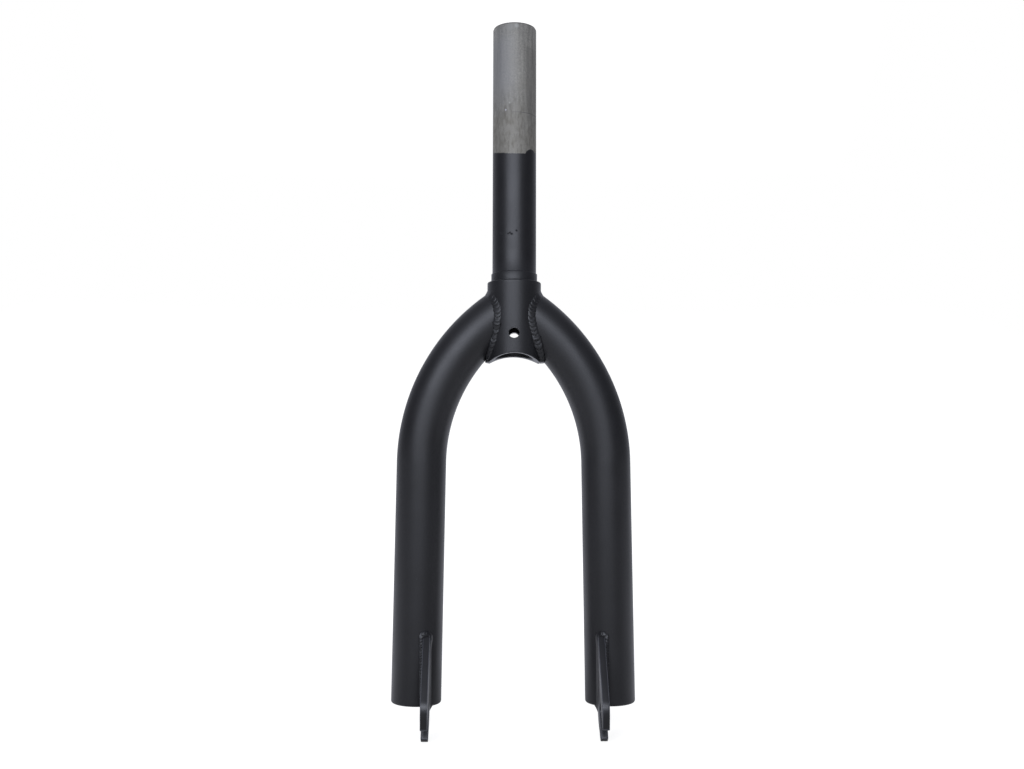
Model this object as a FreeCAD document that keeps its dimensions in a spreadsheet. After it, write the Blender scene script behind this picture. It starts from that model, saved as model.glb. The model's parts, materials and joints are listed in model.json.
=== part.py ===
# Rigid bicycle fork: a turned steerer with its crown barrel, two bent tube legs welded to it,
# and a slotted dropout plate let into the lower end of each leg.
# Frame: origin on the steerer axis at the crown race shoulder, +Z up the steerer.
# The fork faces -Y, so the rider's right side is at -X. Millimetres and degrees.

import FreeCAD, Part
import Sketcher
import math
import os

doc = FreeCAD.newDocument("bicycle_fork")

# Driving dimensions: alias, size, what it is
SIZES = [
    ("steerer_diameter", "28.6", "1-1/8 inch threadless steerer"),
    ("steerer_wall", "1.6", "steerer tube; its bore runs straight through the barrel"),
    ("steerer_length", "170", "from the race shoulder to the top"),
    ("lead_in_width", "0.4", "taper at the top of the steerer, radial"),
    ("lead_in_height", "1", "taper at the top of the steerer, along the axis"),
    ("race_seat_step", "0.7", "press seat of the lower headset race, out from the steerer"),
    ("race_seat_height", "5.3", "above the race shoulder"),
    ("race_seat_chamfer", "0.5", "top edge of the race seat"),
    ("barrel_step", "2.5", "thick lower end that the legs are welded to, out from the race seat"),
    ("barrel_length", "52.5", "below the race shoulder"),
    ("shoulder_round", "0.8", "upper edge of the barrel"),
    ("arch_radius", "27", "cope under the barrel, for the tyre"),
    ("arch_rise", "5.3", "height of the cope above the barrel's lower end"),
    ("brake_hole_diameter", "7", "through hole, front to back"),
    ("brake_hole_drop", "34.5", "below the race shoulder"),
    ("leg_diameter", "31.8", "1-1/4 inch tube"),
    ("leg_wall", "1.6", "leg tube"),
    ("leg_straight", "149.1", "straight run of the leg tube below its bend"),
    ("leg_splay", "0.81", "angle of the straight run from the steerer axis"),
    ("bend_radius", "120", "on the leg's centre line"),
    ("seam_lift", "2.87", "leg's lower line meets the barrel this far above its lower end"),
    ("crown_squeeze", "2.4", "how far the leg is pressed oval at the crown, each face"),
    ("cap_thickness", "3", "disc that closes the leg's lower end"),
    ("cap_round", "1.5", "lower edge of the cap"),
    ("dropout_spacing", "105", "between the inner faces of the two plates"),
    ("dropout_thickness", "4.5", "plate"),
    ("dropout_inset", "7", "plate's middle inboard of the leg axis, at the leg's end"),
    ("axle_slot_width", "10", "open slot for a 3/8 inch axle"),
    ("axle_forward", "28", "axle centre in front of the steerer axis"),
    ("axle_lift", "0.6", "axle centre above the leg's end"),
    ("slot_tilt", "35", "slot and plate lean forward from the vertical"),
    ("eye_radius", "14.5", "plate round the axle, and half its width"),
    ("rear_tine_length", "15.8", "below the axle centre, along the slot"),
    ("rear_tine_tip", "4.5", "width of the rear tine at its tip"),
    ("tongue_depth", "5", "plate's top corner inside the leg's front"),
    ("tongue_setback", "2", "plate's rear corner in front of the leg axis"),
    ("weld_size", "1.8", "reach of the weld beads over both faces of a joint"),
]

sheet = doc.addObject("Spreadsheet::Sheet", "sizes")
for row, (alias, size, meaning) in enumerate(SIZES, start=1):
    sheet.set(f"A{row}", meaning)
    sheet.set(f"B{row}", size)
    sheet.setAlias(f"B{row}", alias)
doc.recompute()

# Sizes worked out from the driving dimensions
STEERER_RADIUS = "sizes.steerer_diameter / 2"
BORE_RADIUS = f"({STEERER_RADIUS} - sizes.steerer_wall)"
SEAT_RADIUS = f"({STEERER_RADIUS} + sizes.race_seat_step)"
BARREL_RADIUS = f"({SEAT_RADIUS} + sizes.barrel_step)"
LEG_RADIUS = "sizes.leg_diameter / 2"
LEG_RUN = "(sizes.leg_straight + sizes.cap_thickness)"
PLATE_X = "(sizes.dropout_spacing + sizes.dropout_thickness) / 2"
LEG_END_X = f"({PLATE_X} + sizes.dropout_inset)"
BEND_X = f"({LEG_END_X} - {LEG_RUN} * sin(sizes.leg_splay))"
# The bend's arc centre lies beyond the steerer axis, and its height puts the leg on the barrel
ARC_X = f"(sizes.bend_radius * cos(sizes.leg_splay) - {BEND_X})"
ARC_RISE = f"cath(sizes.bend_radius - {LEG_RADIUS}; {ARC_X} + {BARREL_RADIUS})"
BEND_Z = (f"(sizes.seam_lift - sizes.barrel_length - {ARC_RISE}"
          " + sizes.bend_radius * sin(sizes.leg_splay))")
LEG_END_Z = f"({BEND_Z} - {LEG_RUN} * cos(sizes.leg_splay))"
# The bend runs on until its centre line meets the steerer axis
BEND_ANGLE = f"(acos({ARC_X} / sizes.bend_radius) - sizes.leg_splay * 1 deg)"

X_AXIS = FreeCAD.Vector(1, 0, 0)
Y_AXIS = FreeCAD.Vector(0, 1, 0)
Z_AXIS = FreeCAD.Vector(0, 0, 1)
ORIGIN = FreeCAD.Vector(0, 0, 0)
SKETCH_ORIGIN = (-1, 1)
SKETCH_AXIS = {"across": -1, "up": -2}
TOLERANCE = 1e-4
# New geometry starts at a rough size, and its expressions then set the real one
ROUGH = 10.0
ROUGH_BEND = math.radians(60)


def bind(thing, **expressions):
    """Bind properties to expressions; a double underscore in a name stands for a dot."""
    for path, expression in expressions.items():
        thing.setExpression(path.replace("__", "."), expression)


def turned(axis):
    """A placement turned about an axis, whose angle an expression then sets."""
    return FreeCAD.Placement(ORIGIN, FreeCAD.Rotation(axis, ROUGH))


def new_body(name):
    return doc.addObject("PartDesign::Body", name)


def new_sketch(body, name, plane):
    """A sketch on one of the body's own origin planes."""
    sketch = body.newObject("Sketcher::SketchObject", name)
    support = next(item for item in body.Origin.OriginFeatures if item.Role == plane)
    sketch.AttachmentSupport = [(support, "")]
    sketch.MapMode = "FlatFace"
    return sketch


def constrain(sketch, expression, kind, *items, rough=ROUGH):
    """Add a dimension to a sketch and bind it to an expression."""
    index = sketch.addConstraint(Sketcher.Constraint(kind, *items, rough))
    sketch.setExpression(f"Constraints[{index}]", expression)


def pin(sketch, point, across, up):
    """Tie a sketch point to the sketch's origin, on an axis where a distance is None."""
    if across is None:
        sketch.addConstraint(Sketcher.Constraint("PointOnObject", *point, SKETCH_AXIS["up"]))
    else:
        constrain(sketch, across, "DistanceX", *SKETCH_ORIGIN, *point)
    if up is None:
        sketch.addConstraint(Sketcher.Constraint("PointOnObject", *point, SKETCH_AXIS["across"]))
    else:
        constrain(sketch, up, "DistanceY", *SKETCH_ORIGIN, *point)


def add_circle(sketch, diameter, across=None, up=None):
    circle = sketch.addGeometry(Part.Circle(ORIGIN, Z_AXIS, ROUGH), False)
    constrain(sketch, diameter, "Diameter", circle)
    pin(sketch, (circle, 3), across, up)


def add_outline(sketch, corners):
    """A closed outline of straight lines, each corner pinned to its own distances."""
    count = len(corners)
    turns = [2 * math.pi * index / count for index in range(count)]
    rough = [FreeCAD.Vector(ROUGH * math.cos(turn), ROUGH * math.sin(turn), 0) for turn in turns]
    lines = [sketch.addGeometry(Part.LineSegment(rough[index], rough[(index + 1) % count]), False)
             for index in range(count)]
    for index, line in enumerate(lines):
        following = lines[(index + 1) % count]
        sketch.addConstraint(Sketcher.Constraint("Coincident", line, 2, following, 1))
    for line, (across, up) in zip(lines, corners):
        pin(sketch, (line, 1), across, up)


def pad(body, sketch, length, side="One side", reverse=False):
    feature = body.newObject("PartDesign::Pad", sketch.Name + "_pad")
    feature.Profile = sketch
    feature.SideType = side
    feature.Reversed = reverse
    bind(feature, Length=length)
    return feature


def cut_through(body, sketch):
    """Pocket a sketch through the whole body, both ways."""
    feature = body.newObject("PartDesign::Pocket", sketch.Name + "_cut")
    feature.Profile = sketch
    feature.Type = "ThroughAll"
    feature.SideType = "Symmetric"
    return feature


def round_edge(body, base, radius, chosen):
    """Fillet the edges of a finished feature that a test picks out."""
    doc.recompute()
    names = [f"Edge{index}" for index, edge in enumerate(base.Shape.Edges, start=1) if chosen(edge)]
    feature = body.newObject("PartDesign::Fillet", base.Name + "_round")
    feature.Base = (base, names)
    bind(feature, Radius=radius)
    return feature


def cut(name, base, *tools):
    """The base with each tool taken away in turn."""
    for index, tool in enumerate(tools, start=1):
        result = doc.addObject("Part::Cut", f"{name}_cut_{index}")
        result.Base = base
        result.Tool = tool
        base = result
    return base


def is_ring(edge, height, radius):
    """True for a full circle about the body's own axis at a height."""
    curve = edge.Curve
    if not isinstance(curve, Part.Circle):
        return False
    return abs(curve.Center.z - height) < TOLERANCE and abs(curve.Radius - radius) < TOLERANCE


# Steerer: one turned tube with a lead-in at the top, the race seat, and the thick barrel
def make_steerer():
    body = new_body("steerer")
    profile = new_sketch(body, "steerer_profile", "XZ_Plane")
    add_outline(profile, [
        (BORE_RADIUS, "-sizes.barrel_length"),
        (BARREL_RADIUS, "-sizes.barrel_length"),
        (BARREL_RADIUS, None),
        (SEAT_RADIUS, None),
        (SEAT_RADIUS, "sizes.race_seat_height - sizes.race_seat_chamfer"),
        (f"{SEAT_RADIUS} - sizes.race_seat_chamfer", "sizes.race_seat_height"),
        (STEERER_RADIUS, "sizes.race_seat_height"),
        (STEERER_RADIUS, "sizes.steerer_length - sizes.lead_in_height"),
        (f"{STEERER_RADIUS} - sizes.lead_in_width", "sizes.steerer_length"),
        (BORE_RADIUS, "sizes.steerer_length"),
    ])
    turning = body.newObject("PartDesign::Revolution", "steerer_turning")
    turning.Profile = profile
    turning.ReferenceAxis = (profile, ["V_Axis"])
    turning.Angle = 360
    seat_radius = sheet.get("steerer_diameter") / 2 + sheet.get("race_seat_step")
    barrel_radius = seat_radius + sheet.get("barrel_step")
    round_edge(body, turning, "sizes.shoulder_round", lambda edge: is_ring(edge, 0, barrel_radius))
    hole = new_sketch(body, "brake_hole", "XZ_Plane")
    add_circle(hole, "sizes.brake_hole_diameter", None, "-sizes.brake_hole_drop")
    cut_through(body, hole)
    arch = new_sketch(body, "tyre_arch", "XZ_Plane")
    add_circle(arch, "2 * sizes.arch_radius", None,
               "sizes.arch_rise - sizes.barrel_length - sizes.arch_radius")
    cut_through(body, arch)
    return body


def barrel_form(name, grow, overrun):
    """The barrel as a plain cylinder, grown on its round side and run on past both ends."""
    form = doc.addObject("Part::Cylinder", name)
    bind(form, Radius=f"{BARREL_RADIUS} + {grow}", Height=f"sizes.barrel_length + 2 * {overrun}",
         Placement__Base__z=f"-sizes.barrel_length - {overrun}")
    return form


def leg_body(name):
    """A body in the leg's own frame: origin at the start of the bend, Z up the straight run."""
    body = new_body(name)
    body.Placement = turned(Y_AXIS)
    bind(body, Placement__Base__x=f"-{BEND_X}", Placement__Base__z=BEND_Z,
         Placement__Rotation__Angle="sizes.leg_splay * 1 deg")
    return body


def leg_form(name, grow, run):
    """The leg filled solid: a round straight run, and a bend that turns oval towards the crown."""
    body = leg_body(name)
    straight = new_sketch(body, name + "_straight", "XY_Plane")
    add_circle(straight, f"2 * ({LEG_RADIUS} + {grow})")
    pad(body, straight, run, reverse=True)

    path = new_sketch(body, name + "_path", "XZ_Plane")
    radius = sheet.get("bend_radius")
    whole = Part.Circle(FreeCAD.Vector(radius, 0, 0), Z_AXIS, radius)
    arc = path.addGeometry(Part.ArcOfCircle(whole, math.pi - ROUGH_BEND, math.pi), False)
    pin(path, (arc, 3), "sizes.bend_radius", None)
    path.addConstraint(Sketcher.Constraint("Coincident", arc, 2, *SKETCH_ORIGIN))
    constrain(path, BEND_ANGLE, "Angle", arc, rough=ROUGH_BEND)

    start = new_sketch(body, name + "_bend_start", "XY_Plane")
    add_circle(start, f"2 * ({LEG_RADIUS} + {grow})")
    end = new_sketch(body, name + "_bend_end", "XY_Plane")
    end.AttachmentOffset = turned(Y_AXIS)
    bind(end, AttachmentOffset__Base__x=f"sizes.bend_radius * (1 - cos({BEND_ANGLE}))",
         AttachmentOffset__Base__z=f"sizes.bend_radius * sin({BEND_ANGLE})",
         AttachmentOffset__Rotation__Angle=BEND_ANGLE)
    oval = end.addGeometry(Part.Ellipse(ORIGIN, ROUGH, ROUGH / 2), False)
    end.exposeInternalGeometry(oval)
    long_axis, short_axis = oval + 1, oval + 2
    end.addConstraint(Sketcher.Constraint("Coincident", oval, 3, *SKETCH_ORIGIN))
    end.addConstraint(Sketcher.Constraint("Horizontal", long_axis))
    constrain(end, f"2 * ({LEG_RADIUS} + {grow})", "Distance", long_axis)
    constrain(end, f"2 * ({LEG_RADIUS} - sizes.crown_squeeze + {grow})", "Distance", short_axis)
    doc.recompute()
    bend = body.newObject("PartDesign::AdditivePipe", name + "_bend")
    bend.Profile = start
    bend.Spine = (path, ["Edge1"])
    bend.Sections = [(end, [""])]
    bend.Transformation = "Multisection"
    return body


# Cap: a disc that closes the leg's lower end, with its lower edge rounded
def make_cap():
    body = leg_body("cap_disc")
    face = new_sketch(body, "cap_face", "XY_Plane")
    bind(face, AttachmentOffset__Base__z="-sizes.leg_straight")
    add_circle(face, "sizes.leg_diameter")
    disc = pad(body, face, "sizes.cap_thickness", reverse=True)
    height = -sheet.get("leg_straight") - sheet.get("cap_thickness")
    radius = sheet.get("leg_diameter") / 2
    round_edge(body, disc, "sizes.cap_round", lambda edge: is_ring(edge, height, radius))
    return body


def dropout_form(name, grow, slotted):
    """The dropout plate about the axle centre, leaning forward by the slot's tilt.

    In the sketch, the slot opens downwards and the fork's front is to the left."""
    body = new_body(name)
    body.Placement = turned(X_AXIS)
    bind(body, Placement__Base__x=f"-{PLATE_X}", Placement__Base__y="-sizes.axle_forward",
         Placement__Base__z=f"{LEG_END_Z} + sizes.axle_lift",
         Placement__Rotation__Angle="-sizes.slot_tilt * 1 deg")
    thickness = f"sizes.dropout_thickness + 2 * {grow}"
    half = f"(sizes.eye_radius + {grow})"
    lean = "(sizes.eye_radius * cos(sizes.slot_tilt))"
    top = (f"(sizes.axle_forward + {lean} - {LEG_RADIUS} + sizes.tongue_depth)"
           f" / sin(sizes.slot_tilt) + {grow}")
    root = f"(sizes.axle_forward - {lean} - sizes.tongue_setback) / sin(sizes.slot_tilt)"
    blade = new_sketch(body, name + "_blade", "YZ_Plane")
    add_outline(blade, [
        (f"-{half}", None),
        (None, None),
        (None, "-sizes.rear_tine_length"),
        ("sizes.axle_slot_width / 2 + sizes.rear_tine_tip", "-sizes.rear_tine_length"),
        (half, None),
        (half, root),
        (f"-{half}", top),
    ])
    pad(body, blade, thickness, side="Symmetric")
    eye = new_sketch(body, name + "_eye", "YZ_Plane")
    add_circle(eye, f"2 * {half}")
    pad(body, eye, thickness, side="Symmetric")
    if slotted:
        slot_end = new_sketch(body, name + "_slot_end", "YZ_Plane")
        add_circle(slot_end, "sizes.axle_slot_width")
        cut_through(body, slot_end)
        slot = new_sketch(body, name + "_slot", "YZ_Plane")
        slot_half = "sizes.axle_slot_width / 2"
        mouth = "-sizes.rear_tine_length - sizes.eye_radius"
        add_outline(slot, [
            (f"-{slot_half}", None),
            (f"-{slot_half}", mouth),
            (slot_half, mouth),
            (slot_half, None),
        ])
        cut_through(body, slot)
    return body


# Forms that more than one piece is cut from
barrel = barrel_form("barrel_form", "0", "sizes.leg_diameter")
barrel_reach = barrel_form("barrel_reach", "sizes.weld_size", "0")
leg_outside = leg_form("leg_outside", "0", "sizes.leg_straight")
leg_bore = leg_form("leg_bore", "(-sizes.leg_wall)", "sizes.leg_straight")
leg_reach = leg_form("leg_reach", "sizes.weld_size", f"{LEG_RUN} + sizes.weld_size")
plate = dropout_form("dropout_plate", "0", True)
plate_reach = dropout_form("plate_reach", "sizes.weld_size", False)
cap = make_cap()

# Right side: the leg is coped to the barrel and slotted for its plate
right_side = {
    "leg": cut("leg", leg_outside, leg_bore, barrel, plate),
    "leg_cap": cut("leg_cap", cap, plate),
    "dropout": plate,
}


def weld(name, first_reach, second_reach, *joined):
    """The bead that fills the corner between joined pieces, within reach of both."""
    corner = doc.addObject("Part::Common", name + "_corner")
    corner.Base = first_reach
    corner.Tool = second_reach
    return cut(name, corner, *joined)


right_side["crown_weld"] = weld("crown_weld", leg_reach, barrel_reach, leg_outside, barrel)
right_side["dropout_weld"] = weld("dropout_weld", leg_reach, plate_reach, leg_outside, cap, plate)

nodes = [make_steerer()]
nodes[0].Label = "steerer_tube"
for name, piece in right_side.items():
    piece.Label = "right_" + name
    other = doc.addObject("Part::Mirroring", "mirrored_" + name)
    other.Source = piece
    other.Normal = X_AXIS
    other.Label = "left_" + name
    nodes += [piece, other]

doc.recompute()

# Every object has to be sound, and every piece one valid solid, before anything is written
for item in doc.Objects:
    if "Invalid" in item.State or "Error" in item.State:
        raise RuntimeError(f"{item.Label} failed: {item.State}")
for node in nodes:
    shape = node.Shape
    if shape.isNull() or not shape.isValid():
        raise RuntimeError(f"{node.Label} has no valid shape")
    if len(shape.Solids) != 1:
        raise RuntimeError(f"{node.Label} has {len(shape.Solids)} solids")
    print(f"{node.Label}: {shape.Volume / 1000:.2f} cm3")

os.makedirs("parts", exist_ok=True)
for node in nodes:
    node.Shape.exportStep(f"parts/{node.Label}.step")
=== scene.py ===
# %% [markdown]
# # A rigid bicycle fork, dressed in Blender
# The fork was drawn and packed as solids: a turned steerer, two bent legs, end caps, slotted
# dropout plates and four welds. This lesson loads those solids as a fixed frame and builds what
# the eye sees around them: turned metal, welded beads with their ripples, and satin black paint.

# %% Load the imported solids
import json
import math
import bmesh
import bpy
import numpy as np
from mathutils import Matrix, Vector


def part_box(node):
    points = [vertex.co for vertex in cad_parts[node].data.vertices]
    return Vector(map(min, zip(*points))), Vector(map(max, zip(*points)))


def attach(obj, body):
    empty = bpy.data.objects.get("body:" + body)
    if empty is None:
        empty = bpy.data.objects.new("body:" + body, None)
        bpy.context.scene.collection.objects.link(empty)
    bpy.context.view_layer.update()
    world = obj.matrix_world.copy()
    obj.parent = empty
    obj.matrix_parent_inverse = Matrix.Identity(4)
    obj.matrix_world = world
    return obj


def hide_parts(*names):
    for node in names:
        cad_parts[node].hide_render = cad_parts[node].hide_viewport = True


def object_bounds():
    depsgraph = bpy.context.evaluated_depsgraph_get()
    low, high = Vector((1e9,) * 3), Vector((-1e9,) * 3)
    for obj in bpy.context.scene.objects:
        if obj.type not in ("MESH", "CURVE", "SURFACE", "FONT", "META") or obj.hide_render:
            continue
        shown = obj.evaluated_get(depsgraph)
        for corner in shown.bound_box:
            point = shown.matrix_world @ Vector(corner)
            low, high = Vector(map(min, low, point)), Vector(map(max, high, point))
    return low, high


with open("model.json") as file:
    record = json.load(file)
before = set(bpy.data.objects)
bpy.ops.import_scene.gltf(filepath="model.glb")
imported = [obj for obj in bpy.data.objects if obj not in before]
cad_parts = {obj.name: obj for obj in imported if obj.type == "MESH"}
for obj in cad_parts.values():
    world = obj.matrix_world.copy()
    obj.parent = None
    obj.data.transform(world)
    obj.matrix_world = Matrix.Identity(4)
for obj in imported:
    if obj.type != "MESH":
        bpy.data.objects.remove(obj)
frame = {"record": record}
cad_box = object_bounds()
print("CAD box, metres:", cad_box)

# %% [markdown]
# ## Sizes
# Every length of the fork is in millimetres, because that is how a frame builder measures one.
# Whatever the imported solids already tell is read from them, so the looks can't drift away from
# the part: the mounts give the turned diameters, and the boxes of the nodes give the rest.
# Only what neither of them states, such as the radius of the bend, is written where it is needed.

# %% Read the main sizes
MM = 0.001
MOUNTS = {mount["name"]: mount for mount in frame["record"]["mounts"]}


def node_box(node):
    """Lowest and highest corners of a CAD node, in millimetres."""
    low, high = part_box(node)
    return np.array(low) / MM, np.array(high) / MM


steerer_low, steerer_high = node_box("steerer_tube")
cap_low, cap_high = node_box("right_leg_cap")
plate_low, plate_high = node_box("right_dropout")
STEERER_RADIUS = MOUNTS["steerer"]["dims"]["r_mm"]
BORE_RADIUS = MOUNTS["steerer_bore"]["dims"]["r_mm"]
SEAT_RADIUS = MOUNTS["crown_race_seat"]["dims"]["r_mm"]
BARREL_RADIUS = steerer_high[0]
HOLE_RADIUS = MOUNTS["brake_hole"]["dims"]["r_mm"]
HOLE_HEIGHT = MOUNTS["brake_hole"]["pos_m"][2] / MM
AXLE = np.array(MOUNTS["axle_slot"]["pos_m"]) / MM
SLOT_RADIUS = MOUNTS["axle_slot"]["dims"]["r_mm"]
LEG_RADIUS = cap_high[1]
PLATE_THICKNESS = plate_high[0] - plate_low[0]
PLATE_X = (plate_high[0] + plate_low[0]) / 2
print("steerer radius", STEERER_RADIUS, "barrel radius", round(BARREL_RADIUS, 2),
      "leg radius", round(LEG_RADIUS, 2), "plate at", round(PLATE_X, 2))

# %% [markdown]
# ## A few helpers
# Most pieces here are grids of points bent into a tube, so one helper turns such a grid into
# faces. Another one makes the Blender object, and a third hides the CAD node that it stands for
# and ties it to the fork's only body. Smooth shading with a sharp-edge angle keeps turned corners
# crisp.

# %% Mesh helpers
SHARP_ANGLE = math.radians(38)


def grid_faces(rows, columns, close_rows):
    """Quads over a grid of points whose columns run round a closed ring."""
    faces = []
    for row in range(rows if close_rows else rows - 1):
        following = (row + 1) % rows
        for column in range(columns):
            beside = (column + 1) % columns
            faces.append((row * columns + column, row * columns + beside,
                          following * columns + beside, following * columns + column))
    return faces


def make_mesh(name, points, faces):
    """A mesh object from millimetre points, with its faces turned outwards."""
    mesh = bpy.data.meshes.new(name)
    mesh.from_pydata((np.asarray(points) * MM).tolist(), [], faces)
    work = bmesh.new()
    work.from_mesh(mesh)
    bmesh.ops.recalc_face_normals(work, faces=work.faces)
    work.to_mesh(mesh)
    work.free()
    thing = bpy.data.objects.new(name, mesh)
    bpy.context.collection.objects.link(thing)
    return thing


def dress(piece, material, node, flat_above=math.inf):
    """Shade a piece, tie it to the body and let it stand for its CAD node.

    Faces of more square millimetres than flat_above keep flat shading."""
    for face in piece.data.polygons:
        face.use_smooth = face.area < flat_above * MM ** 2
    piece.data.set_sharp_from_angle(angle=SHARP_ANGLE)
    piece.data.materials.clear()
    piece.data.materials.append(material)
    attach(piece, "root")
    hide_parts(node)
    print(piece.name, "stands for", node, "with", len(piece.data.polygons), "faces")


# %% [markdown]
# ## Colours and nodes
# Colours are written as the hex values that a paint chart would give, and one function turns
# them into the linear light that Blender's shaders reckon in. A second small function adds any
# node, with its settings and its links, so that a material reads from top to bottom.

# %% Material helpers
def linear(code):
    """Linear RGBA from an sRGB hex colour such as 808080."""
    parts = [int(code[start:start + 2], 16) / 255 for start in (0, 2, 4)]
    return [part / 12.92 if part <= 0.04045 else ((part + 0.055) / 1.055) ** 2.4
            for part in parts] + [1.0]


def add(tree, kind, settings=None, **sockets):
    """Add a node; a socket takes a plain value, or a link from another node's output.

    A socket goes by its name, with _ for a space, or by its place: i0 is the first."""
    node = tree.nodes.new(kind)
    for key, value in (settings or {}).items():
        setattr(node, key, value)
    for key, value in sockets.items():
        name = key.replace("_", " ")
        socket = node.inputs[int(key[1:])] if key[1:].isdigit() else node.inputs[name]
        if isinstance(value, bpy.types.NodeSocket):
            tree.links.new(value, socket)
        else:
            socket.default_value = value
    return node


def new_material(name):
    """An empty material and its node tree."""
    material = bpy.data.materials.new(name)
    material.use_nodes = True
    tree = material.node_tree
    tree.nodes.clear()
    return material, tree


def per_mm(size):
    """Texture scale, in object metres, whose features are a size in millimetres."""
    return 1.0 / (size * MM)


# %% [markdown]
# ## Satin black paint
# The legs, the plates and the lower steerer carry one coat of satin black powder, sprayed dry and
# baked. It is a plastic skin (IOR about 1.5), nearly black, and half matt because it sets with a
# fine orange peel. A noise in millimetres gives that peel as bump, a slower one lets the sheen
# wander a little, and a few dust nibs catch the light. On the real coat the peel is about half a
# millimetre; it is drawn at about a millimetre here, so that it survives the picture's pixels.
# The powder flows out smoother on the flat plates than on the tubes, so they shine a little more.
# A lighter grey is laid on the faces that round the cut edges, as a painted highlight where those
# bevels catch the light. A mark on these faces tells the material where.

# %% Satin black powder coat
PEEL_MM = 1.0
SHEEN_PATCH_MM = 22.0
SHEEN_RANGE = (0.3, 0.7)
NIB_SPACING_MM = 9.0
NIB_RADIUS_MM = 0.315
NIB_CORE_MM = 0.18
NIB_STRENGTH = 0.6
BLACK_DEEP = "131315"
BLACK_WORN = "19191c"
NIB_GREY = "3a3b3f"
# A lighter grey painted on the bevels of cut edges: a painted highlight.
EDGE_HIGHLIGHT_GREY = "48494e"
EDGE_HIGHLIGHT_LAYER = "painted_edge_highlight"
PAINT_IOR = 1.5
TUBE_ROUGHNESS = (0.43, 0.49)
PLATE_ROUGHNESS = (0.35, 0.41)
BUMP_STRENGTH = 0.25
BUMP_DEPTH_MM = 0.12


def add_paint(tree, place, roughness):
    """Colour, roughness and height of the baked powder coat at a place."""
    patch = add(tree, "ShaderNodeTexNoise", Vector=place, Scale=per_mm(SHEEN_PATCH_MM), Detail=3.0)
    peel = add(tree, "ShaderNodeTexNoise", Vector=place, Scale=per_mm(PEEL_MM), Detail=2.0)
    colour = add(tree, "ShaderNodeMix", {"data_type": "RGBA"}, i0=patch.outputs["Fac"],
                 i6=linear(BLACK_DEEP), i7=linear(BLACK_WORN))
    cell = add(tree, "ShaderNodeTexVoronoi", Vector=place, Scale=per_mm(NIB_SPACING_MM))
    nib = add(tree, "ShaderNodeMapRange", Value=cell.outputs["Distance"],
              From_Min=NIB_RADIUS_MM / NIB_SPACING_MM, From_Max=NIB_CORE_MM / NIB_SPACING_MM,
              To_Min=0.0, To_Max=NIB_STRENGTH)
    speckled = add(tree, "ShaderNodeMix", {"data_type": "RGBA"}, i0=nib.outputs["Result"],
                   i6=colour.outputs["Result"], i7=linear(NIB_GREY))
    rough = add(tree, "ShaderNodeMapRange", Value=patch.outputs["Fac"], From_Min=SHEEN_RANGE[0],
                From_Max=SHEEN_RANGE[1], To_Min=roughness[0], To_Max=roughness[1])
    height = add(tree, "ShaderNodeMath", {"operation": "ADD"}, i0=peel.outputs["Fac"],
                 i1=nib.outputs["Result"])
    return speckled.outputs["Result"], rough.outputs["Result"], height.outputs["Value"]


def powder_coat(name, roughness):
    """The paint as a material, with a painted highlight in lighter grey on the faces marked as
    edges.
    """
    material, tree = new_material(name)
    place = add(tree, "ShaderNodeTexCoord").outputs["Object"]
    colour, rough, height = add_paint(tree, place, roughness)
    # The mark of the edges carries a painted highlight in lighter grey.
    edge_highlight = add(tree, "ShaderNodeAttribute", {"attribute_name": EDGE_HIGHLIGHT_LAYER})
    highlighted = add(tree, "ShaderNodeMix", {"data_type": "RGBA"}, i0=edge_highlight.outputs["Fac"],
                  i6=colour, i7=linear(EDGE_HIGHLIGHT_GREY))
    bump = add(tree, "ShaderNodeBump", Strength=BUMP_STRENGTH, Distance=BUMP_DEPTH_MM * MM,
               Height=height)
    skin = add(tree, "ShaderNodeBsdfPrincipled", Base_Color=highlighted.outputs["Result"],
               Roughness=rough, Normal=bump.outputs["Normal"], IOR=PAINT_IOR)
    add(tree, "ShaderNodeOutputMaterial", Surface=skin.outputs["BSDF"])
    return material


paint = powder_coat("satin_black_powder_coat", TUBE_ROUGHNESS)
plate_paint = powder_coat("satin_black_powder_coat_on_plate", PLATE_ROUGHNESS)
print("made", paint.name, "and", plate_paint.name)

# %% [markdown]
# ## Bare and painted steerer
# The steerer is cold drawn steel tube. Its upper half was masked before painting, so it shows
# bare: grey, dull and streaked along the tube by the die. One material holds both finishes, and a
# mask worked out from the height decides which of them shows. Marks on the tube could come from
# an image, but two helpers place them in millimetres and stay sharp at any size: a soft round
# spot on the front, and a share that fades out where a coordinate passes a limit.

# %% Spots and fades
SPOT_CORE = 0.3


def spot(tree, place, x, z, reach, amount=1.0):
    """A soft round spot on the steerer's front, all lengths in millimetres."""
    centre = (x * MM, -math.sqrt(STEERER_RADIUS ** 2 - x ** 2) * MM, z * MM)
    gap = add(tree, "ShaderNodeVectorMath", {"operation": "DISTANCE"}, i0=place, i1=centre)
    return add(tree, "ShaderNodeMapRange", Value=gap.outputs["Value"], From_Min=reach * MM,
               From_Max=SPOT_CORE * reach * MM, To_Min=0.0, To_Max=amount).outputs["Result"]


def share_where(tree, share, *limits):
    """A share that fades out at each limit: a coordinate, and the millimetres at which it
    gives nothing and the whole."""
    for coordinate, nothing, whole in limits:
        rise = add(tree, "ShaderNodeMapRange", Value=coordinate, From_Min=nothing * MM,
                   From_Max=whole * MM)
        share = add(tree, "ShaderNodeMath", {"operation": "MULTIPLY"}, i0=share,
                    i1=rise.outputs["Result"]).outputs["Value"]
    return share


# %% [markdown]
# ### The paint line
# The mask was taped on at a slant and the black crept under it, which left a ragged line with one
# tongue of paint. So the height of each point is tilted by the slant, roughened by a noise and
# lowered by a spot for the tongue. Where the result passes the line's height, bare steel begins.
# The tongue's four numbers are its place across and up, its reach and the height of its paint.

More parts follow.
